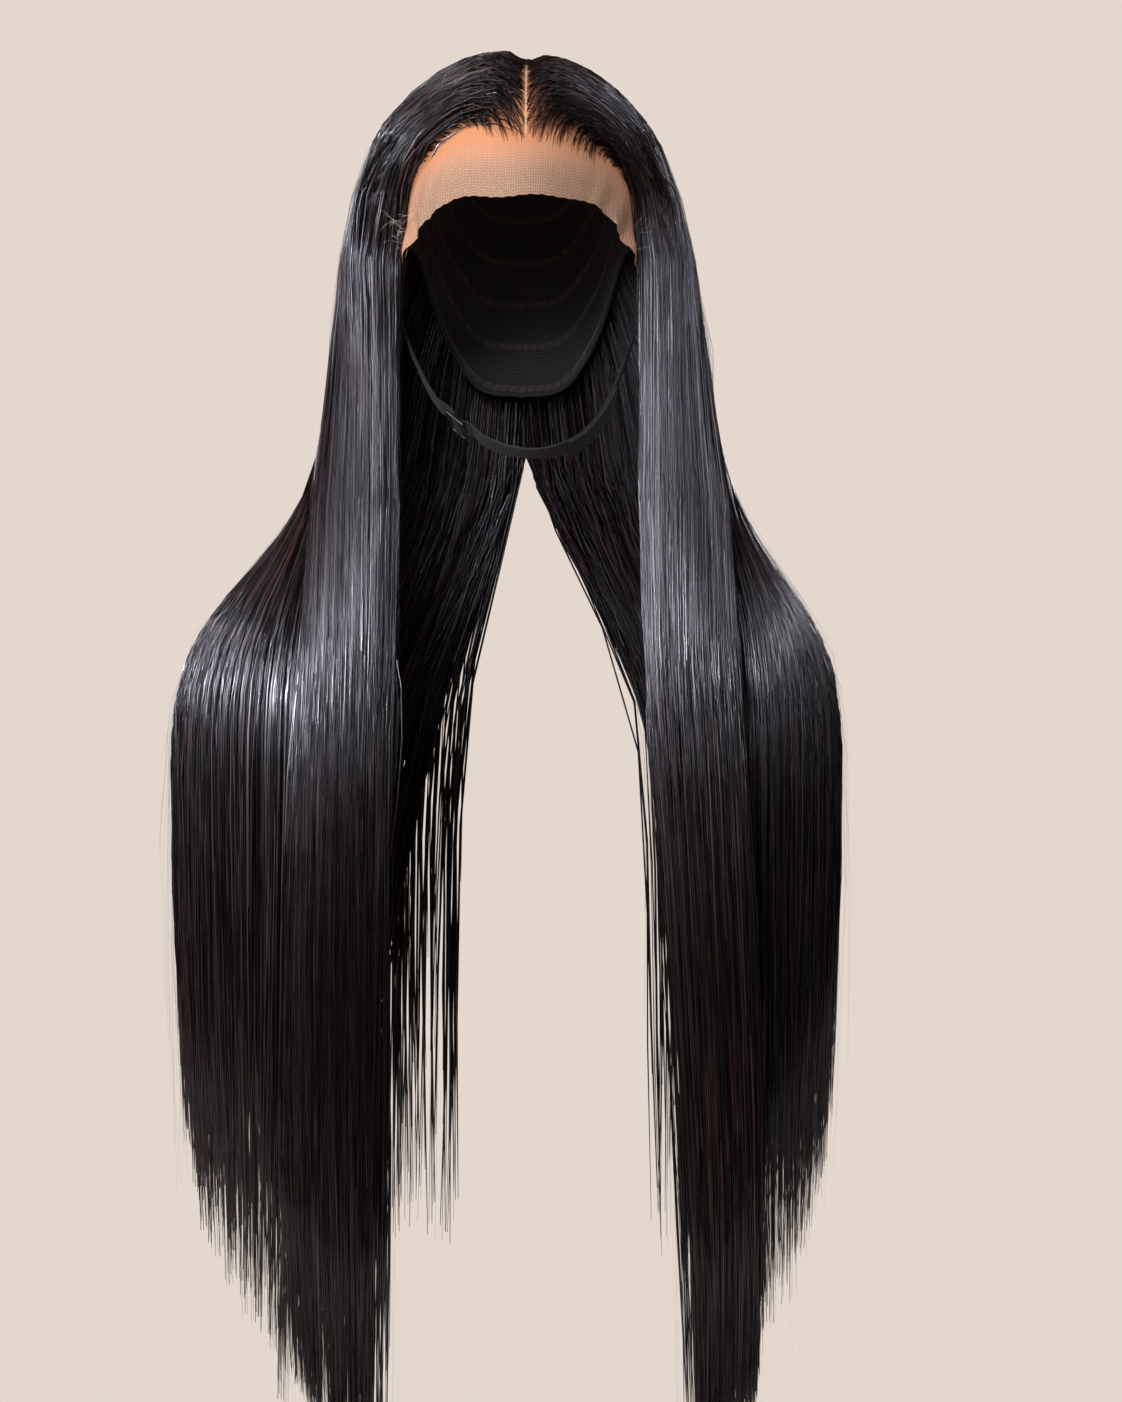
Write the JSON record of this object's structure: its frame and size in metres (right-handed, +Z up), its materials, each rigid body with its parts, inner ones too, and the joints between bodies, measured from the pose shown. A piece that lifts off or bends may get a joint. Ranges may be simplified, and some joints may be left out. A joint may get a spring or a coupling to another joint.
{
  "type": "lace closure wig",
  "caption": "Long straight black wig with a centre part, sheer lace from temple to temple, a stretch cap and an adjustable elastic chin band.",
  "frame": {"origin": "inside top of the cap, where it sits on the head", "axes": "+Z up, the face opening looks along -Y, +X is the right of someone facing it"},
  "size_m": [0.3935, 0.2206, 0.7977],
  "materials": {
    "lace": "sheer peach lace net",
    "cap": "black stretch net",
    "hair": "straight black hair with a soft gloss",
    "elastic": "black woven elastic",
    "slider": "black plastic"
  },
  "bodies": {
    "root": {"lace_front": "lace", "wig_cap": "cap", "lace_hair_left": "hair", "lace_hair_right": "hair", "shoulder_hair_left": "hair", "shoulder_hair_right": "hair", "back_hair_left": "hair", "back_hair_right": "hair", "elastic_band": "elastic", "band_fold": "elastic", "band_slider": "slider"}
  },
  "joints": []
}
